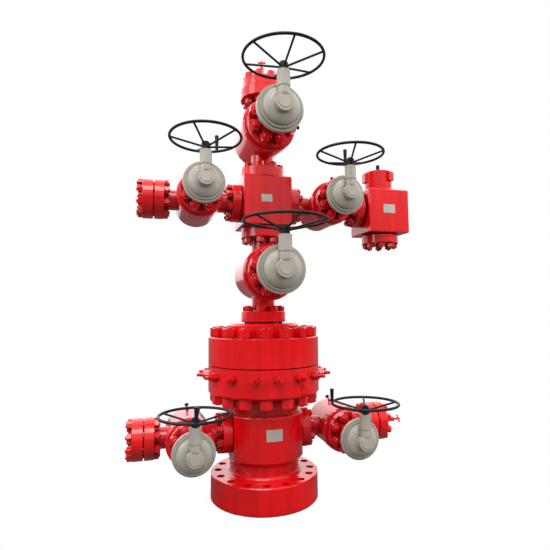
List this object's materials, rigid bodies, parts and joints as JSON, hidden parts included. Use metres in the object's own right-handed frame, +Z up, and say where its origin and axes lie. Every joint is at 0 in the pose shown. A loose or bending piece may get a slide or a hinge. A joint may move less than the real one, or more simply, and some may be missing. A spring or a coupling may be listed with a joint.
{
  "type": "oil wellhead valve stack",
  "caption": "Red wellhead valve stack on a flanged tubing head, with six gate valves, grey bevel gearboxes, dished handwheels, a cross and a choke.",
  "frame": {"origin": "centre of the base flange's underside, on the bore's axis", "axes": "+Z up along the main bore, +X along the wings towards the choke, -Y out along the valve stems"},
  "size_m": [1.756, 1.145, 2.757],
  "materials": {
    "red_paint": "gloss",
    "grey_paint": "satin",
    "slate_paint": "satin",
    "machined_steel": "satin"
  },
  "bodies": {
    "root": {"tubing_head": "red_paint", "tie_down_screws": "red_paint", "tubing_head_adapter": "red_paint", "cross_block": "red_paint", "tree_cap": "red_paint", "cap_bleed_valve": "red_paint", "choke_body": "red_paint", "choke_cap_nut": "red_paint", "choke_outlet_flange": "red_paint", "wing_end_flange": "red_paint", "lower_left_blind_flange": "red_paint", "lower_right_blind_flange": "red_paint", "annulus_needle_valve": "red_paint", "master_valve_body": "red_paint", "master_valve_bonnet": "red_paint", "master_valve_gearbox": "grey_paint", "swab_valve_body": "red_paint", "swab_valve_bonnet": "red_paint", "swab_valve_gearbox": "grey_paint", "left_wing_valve_body": "red_paint", "left_wing_valve_bonnet": "red_paint", "left_wing_valve_gearbox": "grey_paint", "right_wing_valve_body": "red_paint", "right_wing_valve_bonnet": "red_paint", "right_wing_valve_gearbox": "grey_paint", "lower_left_valve_body": "red_paint", "lower_left_valve_bonnet": "red_paint", "lower_left_valve_gearbox": "grey_paint", "lower_right_valve_body": "red_paint", "lower_right_valve_bonnet": "red_paint", "lower_right_valve_gearbox": "grey_paint"},
    "master_valve_wheel": {"master_valve_handwheel": "slate_paint", "master_valve_pinion_shaft": "machined_steel"},
    "swab_valve_wheel": {"swab_valve_handwheel": "slate_paint", "swab_valve_pinion_shaft": "machined_steel"},
    "left_wing_valve_wheel": {"left_wing_valve_handwheel": "slate_paint", "left_wing_valve_pinion_shaft": "machined_steel"},
    "right_wing_valve_wheel": {"right_wing_valve_handwheel": "slate_paint", "right_wing_valve_pinion_shaft": "machined_steel"},
    "lower_left_valve_wheel": {"lower_left_valve_handwheel": "slate_paint", "lower_left_valve_pinion_shaft": "machined_steel"},
    "lower_right_valve_wheel": {"lower_right_valve_handwheel": "slate_paint", "lower_right_valve_pinion_shaft": "machined_steel"}
  },
  "joints": [
    {"name": "master_valve_wheel_turn", "type": "hinge", "parent": "root", "child": "master_valve_wheel", "pos_m": [0, -0.5, 1.53], "axis": [0, 0, 1], "continuous": true},
    {"name": "swab_valve_wheel_turn", "type": "hinge", "parent": "root", "child": "swab_valve_wheel", "pos_m": [0, -0.5, 2.434], "axis": [0, 0, 1], "continuous": true},
    {"name": "left_wing_valve_wheel_turn", "type": "hinge", "parent": "root", "child": "left_wing_valve_wheel", "pos_m": [-0.414, -0.43066, 1.97632], "axis": [0, 0.0558, 0.9984], "continuous": true},
    {"name": "right_wing_valve_wheel_turn", "type": "hinge", "parent": "root", "child": "right_wing_valve_wheel", "pos_m": [0.414, -0.44, 1.952], "axis": [0, 0, 1], "continuous": true},
    {"name": "lower_left_valve_wheel_turn", "type": "hinge", "parent": "root", "child": "lower_left_valve_wheel", "pos_m": [-0.463, -0.44, 0.546], "axis": [0, 0, 1], "continuous": true},
    {"name": "lower_right_valve_wheel_turn", "type": "hinge", "parent": "root", "child": "lower_right_valve_wheel", "pos_m": [0.472, -0.44, 0.546], "axis": [0, 0, 1], "continuous": true}
  ]
}
